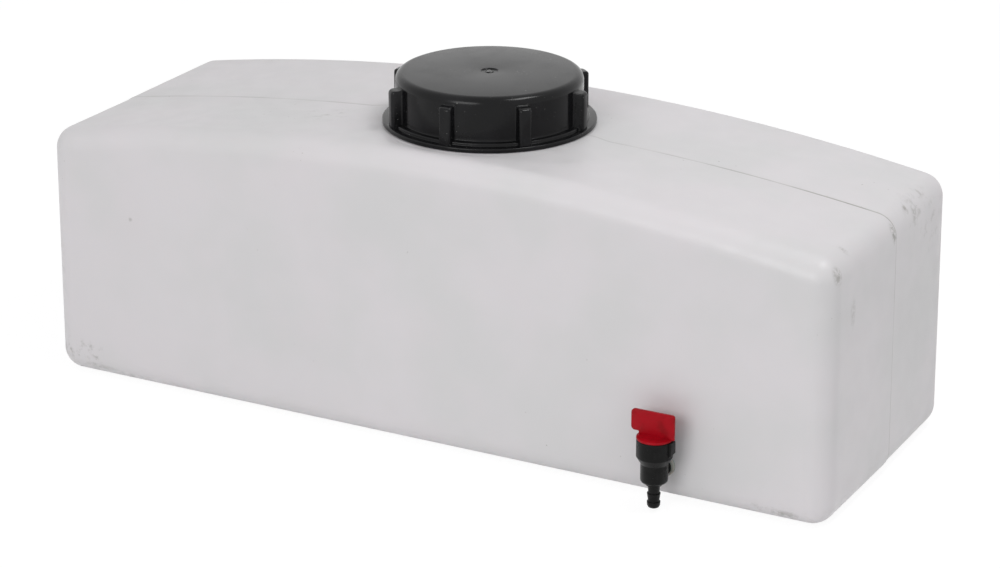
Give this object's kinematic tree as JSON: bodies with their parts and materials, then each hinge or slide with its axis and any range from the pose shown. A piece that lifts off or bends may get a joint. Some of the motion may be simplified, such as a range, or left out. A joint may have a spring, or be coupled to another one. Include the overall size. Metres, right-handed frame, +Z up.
{
  "type": "water tank",
  "caption": "Long moulded water tank with an arched top, a wide ribbed screw cap over its filler neck and a small turn tap with a hose barb low on the front.",
  "frame": {"origin": "on the base plane, under the middle of the tank's length and depth", "axes": "+Z up, +X along the tank with the tap at its +X end, -Y out of the front face that carries the tap"},
  "size_m": [0.5133, 0.2052, 0.2058],
  "materials": {
    "tank_plastic": "milky natural polyethylene, satin, faint scuffs",
    "cap_plastic": "black moulded plastic, satin",
    "gasket_rubber": "plain black rubber sheet",
    "grommet_rubber": "grey green rubber",
    "tap_plastic": "black moulded plastic",
    "handle_plastic": "red moulded plastic",
    "seal_rubber": "black rubber"
  },
  "bodies": {
    "tank": {"tank_shell": "tank_plastic", "outlet_grommet": "grommet_rubber", "valve_body": "tap_plastic"},
    "cap_lift": {"cap_gasket": "gasket_rubber"},
    "cap": {"screw_cap": "cap_plastic"},
    "handle": {"valve_handle": "handle_plastic", "plug_seal": "seal_rubber"}
  },
  "joints": [
    {"name": "cap_rise", "type": "slide", "parent": "tank", "child": "cap_lift", "axis": [0, 0, 1], "range_m": [0, 0.02]},
    {"name": "cap_turn", "type": "hinge", "parent": "cap_lift", "child": "cap", "pos_m": [0.0017, -0.0035, 0.2028], "axis": [0, 0, 1], "range_deg": [0, 900]},
    {"name": "valve_turn", "type": "hinge", "parent": "tank", "child": "handle", "pos_m": [0.1588, -0.10475, 0.045], "axis": [0, 0, 1], "range_deg": [0, 90]}
  ],
  "couplings": [
    {"joint": "cap_rise", "follows": "cap_turn", "m_per_rad": 0.0012732}
  ]
}
